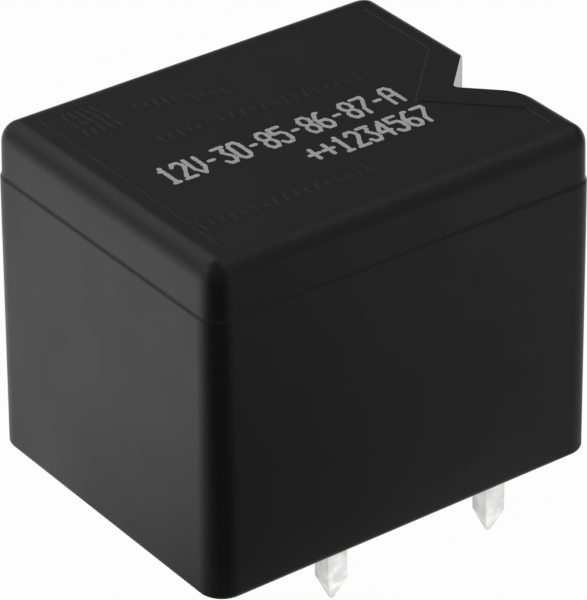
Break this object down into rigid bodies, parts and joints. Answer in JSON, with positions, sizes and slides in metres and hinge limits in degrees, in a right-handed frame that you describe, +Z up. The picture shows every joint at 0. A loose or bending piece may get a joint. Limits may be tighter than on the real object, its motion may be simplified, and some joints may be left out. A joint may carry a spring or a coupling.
{
  "type": "sealed plug in relay",
  "caption": "Sealed change-over relay with a notched box cover, a hinged armature inside and short pointed square pins.",
  "frame": {"origin": "centre of the cover's outline on the plane of its rim, where the relay sits on a board", "axes": "+Z up out of the board towards the top, +X along the length towards the end with the notch, +Y across towards the back"},
  "size_m": [0.028, 0.0226, 0.027],
  "materials": {
    "cover_plastic": "fine satin moulded black",
    "base_plastic": "matt moulded black",
    "resin": "glossy dark potting resin",
    "bobbin_plastic": "natural glass-filled nylon",
    "winding": "enamelled copper wire",
    "tape": "amber film tape",
    "iron": "nickel plated soft iron",
    "rivet_steel": "formed rivet heads",
    "spring_alloy": "rolled copper spring alloy",
    "contact_silver": "silver alloy contact",
    "tinned_pins": "matt tin over copper",
    "solder": "smooth solder"
  },
  "bodies": {
    "housing": {"cover": "cover_plastic", "base_plate": "base_plastic", "sealing_resin": "resin", "bobbin": "bobbin_plastic", "coil_winding": "winding", "coil_tape": "tape", "iron_core": "iron", "yoke": "iron", "yoke_rivets": "rivet_steel", "return_spring": "spring_alloy", "no_contact": "contact_silver", "nc_contact": "contact_silver", "terminal_30": "tinned_pins", "terminal_87": "tinned_pins", "terminal_87a": "tinned_pins", "terminal_85": "tinned_pins", "terminal_86": "tinned_pins", "coil_leads": "winding", "solder_joints": "solder"},
    "armature_set": {"armature": "iron", "armature_rivets": "rivet_steel", "contact_blade": "spring_alloy", "moving_contact": "contact_silver"}
  },
  "joints": [
    {"name": "armature_swing", "type": "hinge", "parent": "housing", "child": "armature_set", "pos_m": [0.0074, 0, 0.0154], "axis": [0, -1, 0], "range_deg": [0, 3.5], "stiffness_Nm_per_rad": 0.005, "springref_deg": -17.19, "deforming": ["return_spring"]}
  ]
}
